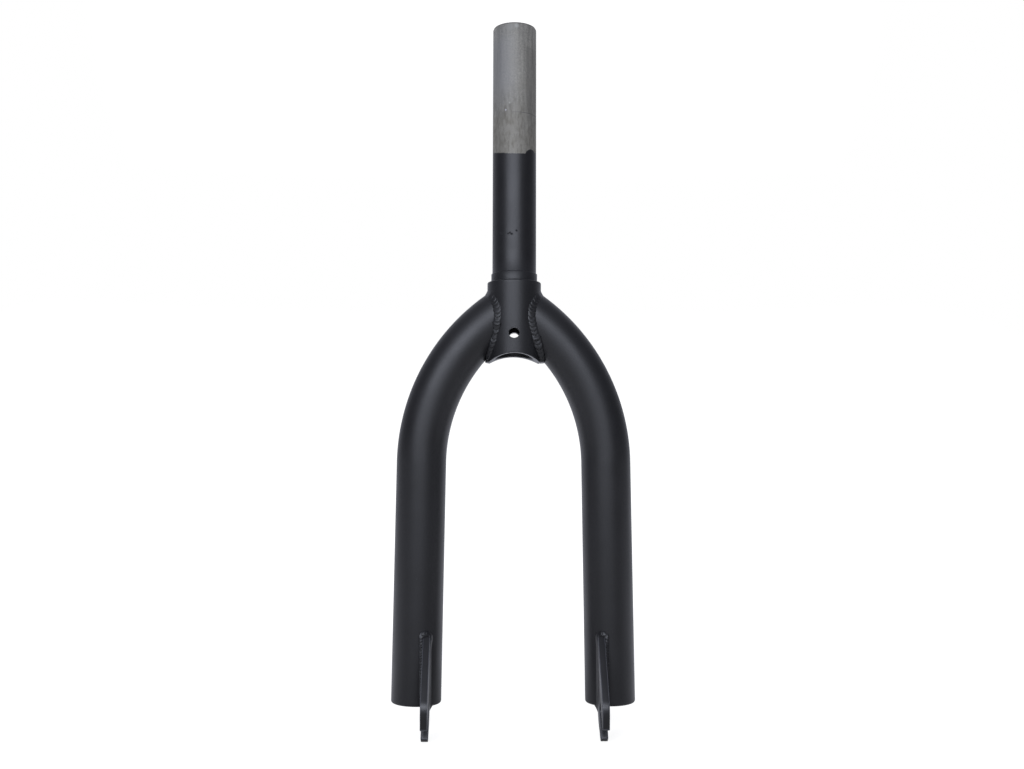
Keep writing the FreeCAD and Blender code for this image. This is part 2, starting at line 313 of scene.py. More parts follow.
# %% Mask of the bare steel
PAINT_LINE_Z = 86.7
PAINT_LINE_SOFT = 0.3
PAINT_SLANT = 0.29
PAINT_RAGGED_MM = 0.9
RAGGED_STEP_MM = 3.0
PAINT_TONGUE = (10.4, 84.0, 5.0, 3.6)


def bare_mask(tree, place, parts):
    """One on bare steel and nothing on paint, with the ragged slanting line between them."""
    slanted = add(tree, "ShaderNodeMath", {"operation": "MULTIPLY_ADD"}, i0=parts.outputs["Y"],
                  i1=-PAINT_SLANT, i2=parts.outputs["Z"])
    ragged = add(tree, "ShaderNodeTexNoise", Vector=place, Scale=per_mm(RAGGED_STEP_MM), Detail=4.0)
    rough_line = add(tree, "ShaderNodeMath", {"operation": "MULTIPLY_ADD"},
                     i0=ragged.outputs["Fac"], i1=2 * PAINT_RAGGED_MM * MM,
                     i2=slanted.outputs["Value"])
    x, z, reach, height = PAINT_TONGUE
    line = add(tree, "ShaderNodeMath", {"operation": "SUBTRACT"}, i0=rough_line.outputs["Value"],
               i1=spot(tree, place, x, z, reach, height * MM))
    middle = PAINT_LINE_Z + PAINT_RAGGED_MM
    return share_where(tree, 1.0, (line.outputs["Value"], middle - PAINT_LINE_SOFT,
                                   middle + PAINT_LINE_SOFT))


# %% [markdown]
# ### Stains, marks of use and painted light
# Old oil left warm stains that grow towards the paint, with a dark mottling above the line. The left
# side of the upper tube is painted lighter and bluish, as a painted sheen, and the right side of its
# front is painted darker, as painted shade. A ring was scribed for cutting, a darker band runs round
# the top edge, two painted highlights near the top stand in for glints, and a few small specks are
# lighter.
# Each mark is a share of its own colour, laid over the steel in turn. A pair such as OIL_UP gives
# the millimetres at which a mark has faded out and at which it is whole, and a pair of clouds gives
# the values of a noise between which it grows.

# %% Stains and marks
OIL_PATCH_MM = 16.0
OIL_CLOUDS = (0.36, 0.60)
OIL_SHARE = (0.1, 0.7)
OIL_UP = (178, 100)
MOTTLE_MM = 1.7
MOTTLE_STRETCH = 3.0
MOTTLE_CLOUDS = (0.44, 0.70)
MOTTLE_SHARE = 0.55
MOTTLE_UP = (136, 112)
# The left side of the upper tube is painted lighter and bluish: a painted sheen on the side towards
# the lamp.
PAINTED_SHEEN_SHARE = 0.5
PAINTED_SHEEN_ACROSS = (3, -9)
PAINTED_SHEEN_FROM = (105, 130)
PAINTED_SHEEN_TO = (172, 156)
# The right side of the tube's front is painted darker: painted shade on the side away from the lamp.
PAINTED_SHADE_SHARE = 0.45
PAINTED_SHADE_ACROSS = (6.3, 7.7)
PAINTED_SHADE_FROM = (98, 112)
PAINTED_SHADE_TO = (154.9, 153.7)
PAINTED_SHADE_BACK = (8, -2)
SCRIBE_Z = 109.9
SCRIBE_WIDTH = 0.30
SCRIBE_ACROSS = (-5, 4)
# A darker band round the top edge of the tube, fading out at the very rim.
TOP_BAND_MM = 0.55
TOP_BAND_SOFT = 0.3
TOP_BAND_LIP = (0.05, 0.15)
STEEL_OILED = "95928a"
STEEL_MOTTLED = "706c62"
# Lighter and bluish: the colour of the painted sheen.
STEEL_PAINTED_SHEEN = "a3a4a7"
# Darker: the colour of the painted shade.
STEEL_PAINTED_SHADE = "86847f"
STEEL_SCRIBED = "72716f"
# The colour of the darker band round the top edge.
STEEL_TOP_BAND = "55545a"
# The first two spots are painted highlights near the top, standing in for glints; the other two are
# small light specks.
SCUFFS_AND_GLINTS = [(-3.6, 166.9, 3.2, "a9a8a4"), (0.8, 167.6, 1.9, "b9b9b5"), (-6.1, 111.6, 0.7, "cfcfd6"),
          (-3.6, 116.1, 0.8, "aeaea8")]


def steel_marks(tree, place, parts):
    """Share and colour of each stain and mark, painted sheen, shade and highlights included, in the
    order in which they lie on the tube.
    """
    across, back, up = (parts.outputs[axis] for axis in "XYZ")
    top = steerer_high[2]
    oil = add(tree, "ShaderNodeTexNoise", Vector=place, Scale=per_mm(OIL_PATCH_MM), Detail=5.0)
    oily = add(tree, "ShaderNodeMapRange", Value=oil.outputs["Fac"], From_Min=OIL_CLOUDS[0],
               From_Max=OIL_CLOUDS[1], To_Min=OIL_SHARE[0], To_Max=OIL_SHARE[1])
    drawn_out = add(tree, "ShaderNodeMapping", Vector=place, Scale=(1, 1, 1 / MOTTLE_STRETCH))
    mottle = add(tree, "ShaderNodeTexNoise", Vector=drawn_out.outputs["Vector"],
                 Scale=per_mm(MOTTLE_MM), Detail=3.0)
    mottled = add(tree, "ShaderNodeMapRange", Value=mottle.outputs["Fac"],
                  From_Min=MOTTLE_CLOUDS[0], From_Max=MOTTLE_CLOUDS[1], To_Min=0.0,
                  To_Max=MOTTLE_SHARE)
    scribed = add(tree, "ShaderNodeMath", {"operation": "COMPARE"}, i0=up, i1=SCRIBE_Z * MM,
                  i2=SCRIBE_WIDTH / 2 * MM)
    # the darker band round the top edge, faded at the rim
    top_band = (up, top - TOP_BAND_MM - TOP_BAND_SOFT, top - TOP_BAND_MM)
    lip = (up, top - TOP_BAND_LIP[0], top - TOP_BAND_LIP[1])
    marks = [
        (share_where(tree, oily.outputs["Result"], (up, *OIL_UP)), STEEL_OILED),
        (share_where(tree, mottled.outputs["Result"], (up, *MOTTLE_UP)), STEEL_MOTTLED),
        # painted sheen on the left side of the upper tube
        (share_where(tree, PAINTED_SHEEN_SHARE, (across, *PAINTED_SHEEN_ACROSS), (up, *PAINTED_SHEEN_FROM),
                     (up, *PAINTED_SHEEN_TO)), STEEL_PAINTED_SHEEN),
        # painted shade on the right side of the tube's front
        (share_where(tree, PAINTED_SHADE_SHARE, (across, *PAINTED_SHADE_ACROSS), (up, *PAINTED_SHADE_TO),
                     (up, *PAINTED_SHADE_FROM), (back, *PAINTED_SHADE_BACK)), STEEL_PAINTED_SHADE),
        (share_where(tree, scribed.outputs["Value"], (across, *SCRIBE_ACROSS)), STEEL_SCRIBED),
        (share_where(tree, 1.0, top_band, lip), STEEL_TOP_BAND)]
    # two painted highlights near the top and two light specks
    return marks + [(spot(tree, place, x, z, reach), tone) for x, z, reach, tone in SCUFFS_AND_GLINTS]


# %% [markdown]
# ### Drawn steel and nicked paint
# A drawing die leaves fine lines along the tube, and a grain breaks them up. On the real tube both
# are finer than a pixel, so they are drawn coarser here. Below the line the powder coat lies on
# the same tube, with a few dull nicks that a clamp pressed into it. Both finishes give a colour, a
# roughness and a height, and the mask mixes each of the three.

# %% Steel half masked and half painted
STREAK_MM = 1.6
STREAK_STRETCH = 14.0
STREAK_RANGE = (0.36, 0.64)
STREAK_DEPTH = 0.5
GRAIN_MM = 1.1
GRAIN_SHARE = 0.5
STEEL_LIGHT = "b5b3ac"
STEEL_DARK = "8c8a85"
STEEL_ROUGHNESS = (0.72, 0.84)
NICKS = [(-4.4, 29.9, 0.8), (-3.2, 30.5, 0.8), (-2.1, 29.7, 1.0), (1.1, 31.8, 0.9),
         (-8.4, 30.6, 1.0)]
NICK_ROUGHNESS = 0.95
NICK_DEPTH = 3.0


def drawn_steel(tree, place, parts):
    """Colour, roughness and height of the bare tube."""
    along = add(tree, "ShaderNodeMapping", Vector=place, Scale=(1, 1, 1 / STREAK_STRETCH))
    line_up = add(tree, "ShaderNodeTexNoise", Vector=along.outputs["Vector"],
                  Scale=per_mm(STREAK_MM), Detail=4.0)
    grain = add(tree, "ShaderNodeTexNoise", Vector=place, Scale=per_mm(GRAIN_MM), Detail=2.0)
    streak = add(tree, "ShaderNodeMix", {"data_type": "FLOAT"}, i0=GRAIN_SHARE,
                 i2=line_up.outputs["Fac"], i3=grain.outputs["Fac"])
    strong = add(tree, "ShaderNodeMapRange", Value=streak.outputs["Result"],
                 From_Min=STREAK_RANGE[0], From_Max=STREAK_RANGE[1]).outputs["Result"]
    colour = add(tree, "ShaderNodeMix", {"data_type": "RGBA"}, i0=strong, i6=linear(STEEL_DARK),
                 i7=linear(STEEL_LIGHT))
    for share, tone in steel_marks(tree, place, parts):
        colour = add(tree, "ShaderNodeMix", {"data_type": "RGBA"}, i0=share,
                     i6=colour.outputs["Result"], i7=linear(tone))
    rough = add(tree, "ShaderNodeMapRange", Value=strong, To_Min=STEEL_ROUGHNESS[0],
                To_Max=STEEL_ROUGHNESS[1])
    height = add(tree, "ShaderNodeMath", {"operation": "MULTIPLY"}, i0=strong, i1=STREAK_DEPTH)
    return colour.outputs["Result"], rough.outputs["Result"], height.outputs["Value"]


def nicked_paint(tree, place):
    """The powder coat with a row of small dull nicks, pressed in by a clamp."""
    colour, rough, height = add_paint(tree, place, TUBE_ROUGHNESS)
    for x, z, reach in NICKS:
        pit = spot(tree, place, x, z, reach)
        rough = add(tree, "ShaderNodeMix", {"data_type": "FLOAT"}, i0=pit, i2=rough,
                    i3=NICK_ROUGHNESS).outputs["Result"]
        height = add(tree, "ShaderNodeMath", {"operation": "MULTIPLY_ADD"}, i0=pit,
                     i1=-NICK_DEPTH, i2=height).outputs["Value"]
    return colour, rough, height


def steerer_finish():
    """Bare drawn steel above the paint line and nicked paint below it."""
    material, tree = new_material("drawn_steel_half_painted")
    place = add(tree, "ShaderNodeTexCoord").outputs["Object"]
    parts = add(tree, "ShaderNodeSeparateXYZ", Vector=place)
    mask = bare_mask(tree, place, parts)
    paint_colour, paint_rough, paint_height = nicked_paint(tree, place)
    steel_colour, steel_rough, steel_height = drawn_steel(tree, place, parts)
    colour = add(tree, "ShaderNodeMix", {"data_type": "RGBA"}, i0=mask, i6=paint_colour,
                 i7=steel_colour)
    rough = add(tree, "ShaderNodeMix", {"data_type": "FLOAT"}, i0=mask, i2=paint_rough,
                i3=steel_rough)
    height = add(tree, "ShaderNodeMix", {"data_type": "FLOAT"}, i0=mask, i2=paint_height,
                 i3=steel_height)
    bump = add(tree, "ShaderNodeBump", Strength=BUMP_STRENGTH, Distance=BUMP_DEPTH_MM * MM,
               Height=height.outputs["Result"])
    # The paint's IOR is the shader's default too, so the metal keeps the default.
    skin = add(tree, "ShaderNodeBsdfPrincipled", Base_Color=colour.outputs["Result"],
               Metallic=mask, Roughness=rough.outputs["Result"], Normal=bump.outputs["Normal"],
               IOR=PAINT_IOR)
    add(tree, "ShaderNodeOutputMaterial", Surface=skin.outputs["BSDF"])
    return material


steel = steerer_finish()
print("made", steel.name)

# %% [markdown]
# ## The steerer
# On a lathe, the steerer and its thick crown barrel are one turned profile. Revolving a list of
# rings gives the same thing here: the lead-in at the top, the tube, a short ledge up to the race
# seat, a shallow relief at the shoulder, and the barrel. The only part that isn't round is the
# lower end, which is coped to an arch for the tyre: there each point of a ring takes its own
# height from the arch's circle.

# %% Turned steerer with its crown barrel
RING_POINTS = 192
TUBE_RINGS = 12
LEDGE_RINGS = 7
SHOULDER_RINGS = 6
BARREL_RINGS = 44
END_RINGS = 4
LEAD_IN_WIDTH = 0.4
LEAD_IN_HEIGHT = 1.0
RACE_SEAT_HEIGHT = 5.3
SEAT_START = 0.6
SEAT_RAMP = 0.5
RELIEF_DEPTH = 0.2
SHOULDER_ROUND = 0.8
ARCH_RADIUS = 27.0
ARCH_RISE = 5.3
EDGE_BREAK = 0.3
turn = np.linspace(0, 2 * math.pi, RING_POINTS, endpoint=False)


def arch_height(radius):
    """Height of the barrel's coped lower end round a ring."""
    centre = steerer_low[2] + ARCH_RISE - ARCH_RADIUS
    across = radius * np.sin(turn)
    return np.maximum(steerer_low[2], centre + np.sqrt(ARCH_RADIUS ** 2 - across ** 2))


def ring(radius, height):
    """Points of one ring; the height is a number or one number per point."""
    return np.column_stack([radius * np.sin(turn), -radius * np.cos(turn),
                            np.broadcast_to(height, turn.shape)])


def turned_steerer():
    """The profile from the bore's top edge, down the outside and back up the bore."""
    top = steerer_high[2]
    rings = [ring(BORE_RADIUS, top - EDGE_BREAK), ring(BORE_RADIUS + EDGE_BREAK, top)]
    tip = STEERER_RADIUS - LEAD_IN_WIDTH
    rings += [ring(tip - EDGE_BREAK, top), ring(tip, top - EDGE_BREAK / 2)]
    ramp_top = RACE_SEAT_HEIGHT + SEAT_START
    rings += [ring(STEERER_RADIUS, height)
              for height in np.linspace(top - LEAD_IN_HEIGHT, ramp_top, TUBE_RINGS)]
    for share in np.linspace(0, 1, LEDGE_RINGS)[1:]:
        step = (SEAT_RADIUS - STEERER_RADIUS) * math.sin(share * math.pi / 2) ** 2
        rings.append(ring(STEERER_RADIUS + step, ramp_top - share * SEAT_RAMP))
    rings += [ring(SEAT_RADIUS, 2 * RELIEF_DEPTH),
              ring(SEAT_RADIUS - RELIEF_DEPTH, RELIEF_DEPTH),
              ring(SEAT_RADIUS - RELIEF_DEPTH, 0)]
    for angle in np.linspace(0, math.pi / 2, SHOULDER_RINGS):
        rings.append(ring(BARREL_RADIUS - SHOULDER_ROUND * (1 - math.sin(angle)),
                          -SHOULDER_ROUND * (1 - math.cos(angle))))
    lowest = arch_height(BARREL_RADIUS) + EDGE_BREAK
    for share in np.linspace(0, 1, BARREL_RINGS)[1:]:
        rings.append(ring(BARREL_RADIUS, -SHOULDER_ROUND + share * (lowest + SHOULDER_ROUND)))
    for radius in np.linspace(BARREL_RADIUS - EDGE_BREAK, BORE_RADIUS + EDGE_BREAK, END_RINGS):
        rings.append(ring(radius, arch_height(radius)))
    lowest = arch_height(BORE_RADIUS) + EDGE_BREAK
    for share in np.linspace(0, 1, BARREL_RINGS)[:-1]:
        rings.append(ring(BORE_RADIUS, lowest * (1 - share)))
    rings.append(ring(BORE_RADIUS, 0))
    return make_mesh("turned_steerer", np.concatenate(rings),
                     grid_faces(len(rings), RING_POINTS, True))


steerer = turned_steerer()
print("turned", len(steerer.data.vertices), "points")

# %% [markdown]
# ### The brake hole
# A hole through the barrel holds the brake's bolt. Cutting it into the rings by hand would need
# many special points, so a boolean does it, as a drill would. The drill stood a little out of
# line, which shows in the daylight through the hole.

# %% Drilled brake hole
DRILL_TURN = math.radians(1.5)


def drill(piece, radius, height, reach):
    """Cut a round hole from front to back through a piece."""
    rows = [np.column_stack([radius * np.sin(turn) + side * math.tan(DRILL_TURN),
                             np.full(turn.shape, side),
                             height + radius * np.cos(turn)]) for side in (-reach, reach)]
    faces = grid_faces(2, RING_POINTS, False)
    faces += [tuple(range(RING_POINTS)), tuple(range(RING_POINTS, 2 * RING_POINTS))]
    cutter = make_mesh("brake_drill", np.concatenate(rows), faces)
    hole = piece.modifiers.new("brake_hole", "BOOLEAN")
    hole.operation = "DIFFERENCE"
    hole.solver = "EXACT"
    hole.object = cutter
    shape = piece.evaluated_get(bpy.context.evaluated_depsgraph_get())
    drilled = bpy.data.meshes.new_from_object(shape)
    piece.modifiers.clear()
    piece.data = drilled
    bpy.data.objects.remove(cutter)


drill(steerer, HOLE_RADIUS, HOLE_HEIGHT, 2 * BARREL_RADIUS)
dress(steerer, steel, "steerer_tube")

# %% [markdown]
# ## The legs
# Each leg is a round tube, bent on a former and pressed a little oval at the crown so that it
# lies against the barrel. A curve with a bevel could draw it, but the upper end has to be coped,
# that is, cut to the barrel's round face. So the tube is a grid: every line along the tube runs
# up the straight part and round the bend until it meets the barrel, found by halving steps.

# %% Skin of a bent leg
LEG_STRAIGHT = 149.1
LEG_SPLAY = math.radians(0.81)
CAP_THICKNESS = 3.0
BEND_RADIUS = 120.0
CROWN_SQUEEZE = 2.4
DROPOUT_INSET = 7.0
SEAM_LIFT = 2.87
HALVINGS = 40
leg_end_x = PLATE_X - DROPOUT_INSET
bend_x = leg_end_x + (LEG_STRAIGHT + CAP_THICKNESS) * math.sin(LEG_SPLAY)
arc_x = bend_x + BEND_RADIUS * math.cos(LEG_SPLAY)
arc_rise = math.sqrt((BEND_RADIUS - LEG_RADIUS) ** 2 - (arc_x + BARREL_RADIUS) ** 2)
arc_z = steerer_low[2] + SEAM_LIFT - arc_rise
full_bend = math.acos(arc_x / BEND_RADIUS) - LEG_SPLAY


def leg_surface(run, around, inset=0.0):
    """Points of the right leg's skin: distance up the tube's axis, and angle round it."""
    run, around = np.broadcast_arrays(np.asarray(run, float), np.asarray(around, float))
    bend = np.maximum(run - LEG_STRAIGHT, 0) / BEND_RADIUS
    below = np.maximum(LEG_STRAIGHT - run, 0)
    lean = bend + LEG_SPLAY
    axis_x = arc_x - BEND_RADIUS * np.cos(lean) - below * math.sin(LEG_SPLAY)
    axis_z = arc_z + BEND_RADIUS * np.sin(lean) - below * math.cos(LEG_SPLAY)
    wide = LEG_RADIUS - inset
    deep = wide - CROWN_SQUEEZE * np.minimum(bend / full_bend, 1)
    out = wide * np.cos(around)
    return np.stack([axis_x - out * np.cos(lean), deep * np.sin(around),
                     axis_z + out * np.sin(lean)], axis=-1)


def seam_run(around, inset=0.0):
    """Distance up the tube's axis at which each line of the skin meets the barrel."""
    low = np.full(around.shape, LEG_STRAIGHT)
    high = np.full(around.shape, LEG_STRAIGHT + BEND_RADIUS * full_bend)
    for _ in range(HALVINGS):
        middle = (low + high) / 2
        points = leg_surface(middle, around, inset)
        outside = np.hypot(points[..., 0], points[..., 1]) > BARREL_RADIUS
        low = np.where(outside, middle, low)
        high = np.where(outside, high, middle)
    return (low + high) / 2


print("the bend turns", round(math.degrees(full_bend), 1), "degrees up to the barrel's axis")

# %% Bent and coped legs
LEG_WALL = 1.6
LEG_POINTS = 128
STRAIGHT_RINGS = 30
BEND_RINGS = 90


def mirrored(points, side):
    """Right-hand points as they are, or reflected for the left side."""
    return np.asarray(points) * (1 if side == "right" else -1, 1, 1)


def bent_leg(side):
    """The outer skin up to the seam, and the inner skin back down."""
    around = np.linspace(0, 2 * math.pi, LEG_POINTS, endpoint=False)
    skins = []
    for inset in (0.0, LEG_WALL):
        top = seam_run(around, inset)
        runs = [np.full(around.shape, run) for run in np.linspace(0, LEG_STRAIGHT, STRAIGHT_RINGS)]
        runs += [LEG_STRAIGHT + (top - LEG_STRAIGHT) * share
                 for share in np.linspace(0, 1, BEND_RINGS)[1:]]
        skins.append([leg_surface(run, around, inset) for run in runs])
    rings = skins[0] + skins[1][::-1]
    return make_mesh(f"{side}_bent_leg", mirrored(np.concatenate(rings), side),
                     grid_faces(len(rings), LEG_POINTS, True))


for side in ("right", "left"):
    dress(bent_leg(side), paint, f"{side}_leg")

# %% [markdown]
# ## The end caps
# A pressed steel disc closes each leg, and its edge is rounded before welding and painting, so
# tube and disc read as one shape with a soft lower rim. Rings from the rim to the middle draw it,
# with the round as a quarter circle.

# %% Rounded cap at the foot of the leg
CAP_ROUND = 1.5
CAP_STEPS = 8


def end_cap(side):
    """Rings down the rim, round its edge and in over the flat face."""
    around = np.linspace(0, 2 * math.pi, LEG_POINTS, endpoint=False)
    profile = [(LEG_RADIUS, 0.0)]
    for angle in np.linspace(0, math.pi / 2, CAP_STEPS):
        profile.append((LEG_RADIUS - CAP_ROUND * (1 - math.cos(angle)),
                        CAP_THICKNESS - CAP_ROUND * (1 - math.sin(angle))))
    profile.append((LEG_RADIUS / 2, CAP_THICKNESS))
    rings = [leg_surface(-drop, around, LEG_RADIUS - radius) for radius, drop in profile]
    faces = grid_faces(len(rings), LEG_POINTS, False)
    last = (len(rings) - 1) * LEG_POINTS
    faces += [tuple(range(LEG_POINTS)), tuple(range(last, last + LEG_POINTS))]
    return make_mesh(f"{side}_end_cap", mirrored(np.concatenate(rings), side), faces)


for side in ("right", "left"):
    dress(end_cap(side), paint, f"{side}_leg_cap")

# %% [markdown]
# ## The dropout plates
# A dropout is cut from plate, and slotted for the axle of the wheel. Its outline is drawn flat
# about the axle's centre: a rounded nose in front, a short tine on each side of the slot, and a
# tongue that runs into the leg under a level top.

# %% Outline of a dropout
SLOT_TILT = math.radians(35)
EYE_RADIUS = 14.5
REAR_TINE_LENGTH = 15.8
REAR_TINE_TIP = 4.5
FRONT_TINE_LENGTH = 14.9
FRONT_TINE_TIP = 1.2
TONGUE_DEPTH = 5.0
TONGUE_SETBACK = 2.0
NOSE_SWEEP = math.radians(50)
ARC_STEP = math.radians(5)


def arc(radius, start, end):
    """Points along an arc about the axle's centre, angles in radians."""
    count = max(2, round(abs(end - start) / ARC_STEP))
    return [(radius * math.cos(angle), radius * math.sin(angle))
            for angle in np.linspace(start, end, count + 1)]


def plate_outline():
    """The plate seen from the right: the fork's front is at the left, and the slot opens down."""
    forward = -AXLE[1]
    lean = EYE_RADIUS * math.cos(SLOT_TILT)
    top = (forward + lean - LEG_RADIUS) / math.sin(SLOT_TILT)
    root = (forward - lean - TONGUE_SETBACK) / math.sin(SLOT_TILT)
    tine_foot = SLOT_RADIUS + REAR_TINE_TIP
    slope = (EYE_RADIUS - tine_foot) / REAR_TINE_LENGTH
    joint_y = -2 * slope * EYE_RADIUS / (1 + slope ** 2)
    joint = math.atan2(joint_y, EYE_RADIUS + slope * joint_y)
    outline = [(-EYE_RADIUS + TONGUE_DEPTH * math.cos(SLOT_TILT),
                top + TONGUE_DEPTH * math.sin(SLOT_TILT)), (-EYE_RADIUS, top)]
    outline += arc(EYE_RADIUS, math.pi, math.pi + NOSE_SWEEP)
    outline += [(-SLOT_RADIUS - FRONT_TINE_TIP, -FRONT_TINE_LENGTH),
                (-SLOT_RADIUS, -FRONT_TINE_LENGTH)]
    outline += arc(SLOT_RADIUS, math.pi, 0)
    outline += [(SLOT_RADIUS, -REAR_TINE_LENGTH), (tine_foot, -REAR_TINE_LENGTH)]
    outline += arc(EYE_RADIUS, joint, 0)
    outline += [(EYE_RADIUS, root)]
    return outline


def lean_forward(across, up):
    """Y and Z of a point of the plate's drawing."""
    return (AXLE[1] + across * math.cos(SLOT_TILT) + up * math.sin(SLOT_TILT),
            AXLE[2] - across * math.sin(SLOT_TILT) + up * math.cos(SLOT_TILT))


plate_top = lean_forward(*plate_outline()[1])[1]
print("the plate has", len(plate_outline()), "points and its top is at", round(plate_top, 1))

# %% [markdown]
# ### From outline to plate
# The outline is leant forward with the slot and pushed to its thickness. Cut steel is never razor
# sharp once painted, so a narrow bevel rounds every sharp edge. Its faces are marked to carry the
# paint's painted highlight, apart from those along the top, which lies under the weld. The large
# faces keep flat shading, because smooth shading would make them look pillowed.

# %% Slotted plate with rounded edges
PLATE_EDGE = 0.45
EDGE_SEGMENTS = 3
FLAT_FACE_MM2 = 8.0


def dropout_plate(side):
    """Two flat faces, the wall between them, and a bevel along the sharp edges."""
    outline = [lean_forward(across, up) for across, up in plate_outline()]
    count = len(outline)
    faces_x = (PLATE_X - PLATE_THICKNESS / 2, PLATE_X + PLATE_THICKNESS / 2)
    points = [(x, y, z) for x in faces_x for y, z in outline]
    faces = [tuple(range(count)), tuple(range(count, 2 * count))]
    for index in range(count):
        beside = (index + 1) % count
        faces.append((index, beside, count + beside, count + index))
    plate = make_mesh(f"{side}_dropout_plate", mirrored(points, side), faces)
    work = bmesh.new()
    work.from_mesh(plate.data)
    edge_highlight = work.faces.layers.float.new(EDGE_HIGHLIGHT_LAYER)
    sharp = [edge for edge in work.edges if edge.calc_face_angle() > SHARP_ANGLE]
    rounded = bmesh.ops.bevel(work, geom=sharp, offset=PLATE_EDGE * MM, segments=EDGE_SEGMENTS,
                              profile=0.5, affect="EDGES", clamp_overlap=True)
    welded_over = (plate_top - 2 * PLATE_EDGE) * MM
    for face in rounded["faces"]:
        # Bevel faces below the weld get the painted highlight of the edges.
        face[edge_highlight] = float(face.calc_center_median().z < welded_over)
    work.to_mesh(plate.data)
    work.free()
    return plate


for side in ("right", "left"):
    dress(dropout_plate(side), plate_paint, f"{side}_dropout",
          flat_above=FLAT_FACE_MM2)

# %% [markdown]
# ## Weld beads
# A welder lays a bead as a row of overlapping puddles, so the bead shows curved ripples like a
# stack of coins pushed over. Ripples of this size catch light and shade and have to be real
# shape, not bump. The bead is a grid whose rows follow the ripples: a row trails behind at the
# toes, which bends it into an arc. At each step the bead knows which way the two surfaces run off
# from the corner, spans a chord between its two toes, and swells outwards. No two puddles are
# alike, so their lengths and sizes are drawn at random, from a seed that is always the same.

# %% Bead builder
BEAD_COLUMNS = 22
ROWS_PER_RIPPLE = 9
TOE_SINK = 0.25
TOE_SCALLOP = 0.08
TOE_SPREAD = 0.5
SCALLOP_MEAN = 0.6
RIPPLE_LEAN = 0.6
RIPPLE_LEVEL = 0.5
FULL_RIPPLE = 0.12
PITCH_SPREAD = 0.35
SIZE_SPREAD = 0.30
CURL = 0.55


def unit(vectors):
    """Vectors of the same directions and of length one."""
    return vectors / np.linalg.norm(vectors, axis=-1, keepdims=True)


def bead_points(path, first, second, shape, pitch, seed):
    """Grid of a rippled bead round a closed path, and its faces.

    first and second run off along the two surfaces. The columns of shape are, in millimetres,
    the reach along each of them, the swell, and the height of the ripples."""
    gaps = np.linalg.norm(np.roll(path, -1, axis=0) - path, axis=1)
    along, whole = np.cumsum(gaps) - gaps, gaps.sum()
    draw = np.random.default_rng(seed)
    count = max(3, round(whole / pitch))
    lengths = 1 + PITCH_SPREAD * (draw.random(count) - 0.5)
    lengths *= whole / lengths.sum()
    starts = np.cumsum(lengths) - lengths
    fraction = np.tile(np.arange(ROWS_PER_RIPPLE) / ROWS_PER_RIPPLE, count)
    steps = np.repeat(starts, ROWS_PER_RIPPLE) + fraction * np.repeat(lengths, ROWS_PER_RIPPLE)
    size = np.interp(steps, starts + lengths / 2, 1 + SIZE_SPREAD * (draw.random(count) - 0.5),
                     period=whole)
    scallop = np.sin(np.pi * fraction ** RIPPLE_LEAN)
    wobble = TOE_SCALLOP * (scallop - SCALLOP_MEAN) + TOE_SPREAD * (size - 1)
    known = np.hstack([path, first, second, shape])
    rows = []
    for place in np.linspace(-1, 1, BEAD_COLUMNS):
        trailing = steps + CURL * pitch * place ** 2
        here = np.column_stack([np.interp(trailing, along, column, period=whole)
                                for column in known.T])
        root, one, two = here[:, :3], unit(here[:, 3:6]), unit(here[:, 6:9])
        reach_one, reach_two, swell, ripple = here[:, 9:].T
        grow = 1 + np.clip(ripple / FULL_RIPPLE, 0, 1) * wobble
        left = root + one * (reach_one * grow)[:, None]
        right = root + two * (reach_two * grow)[:, None]
        across = unit(right - left)
        middle = (left + right) / 2 - root
        outward = unit(middle - across * np.sum(middle * across, axis=-1, keepdims=True))
        round_off = math.sqrt(max(0.0, 1 - place ** 2))
        crest = swell * size + ripple * (scallop - RIPPLE_LEVEL)
        lift = crest * round_off - TOE_SINK * (1 - round_off)
        rows.append(left * (1 - place) / 2 + right * (1 + place) / 2 + outward * lift[:, None])
    rows.append(root - outward * TOE_SINK)
    return np.stack(rows, axis=1).reshape(-1, 3), grid_faces(len(steps), len(rows), True)


# %% [markdown]
# ### Crown beads
# The bead runs all round the mouth of each leg where it meets the barrel, and keeps above the
# barrel's lower end. It flowed smooth and hollow over the top, and shows its ripples further down.
# How much of the leg it covers changes with the height, and differs from side to side. The welder
# stopped and started once at the front of each side, and that left a fatter nugget.

# %% Crown weld
CROWN_CHORD = 5.2
LEG_TOE_Z = (-40.0, -33.0, -27.0, -20.0)
LEG_TOE_SHARE = {"right": (0.5, 0.5, 0.9, 1.0), "left": (1.0, 0.9, 0.9, 1.0)}
LONGEST_TOE = 3.8
CROWN_SWELL = 0.40
CROWN_RIPPLE = 0.26
CROWN_PITCH = 2.75
RIPPLES_TO = 0.8
RIPPLES_FADE = 0.4
TOP_FROM = 0.72
TOP_FADE = 0.25
TOP_HOLLOW = 0.9
SEAM_POINTS = 360
LEG_STEP = 0.5
NUGGETS = {"right": (-28.6, 1.0, 2.0), "left": (-37.2, 0.8, 1.1)}
NUGGET_SPREAD = 0.8
BEAD_CLEARANCE = 0.1
CROWN_SEED = 11


def away(direction, along):
    """A surface direction with its part along the seam taken out."""
    return unit(direction - along * np.sum(direction * along, axis=-1, keepdims=True))


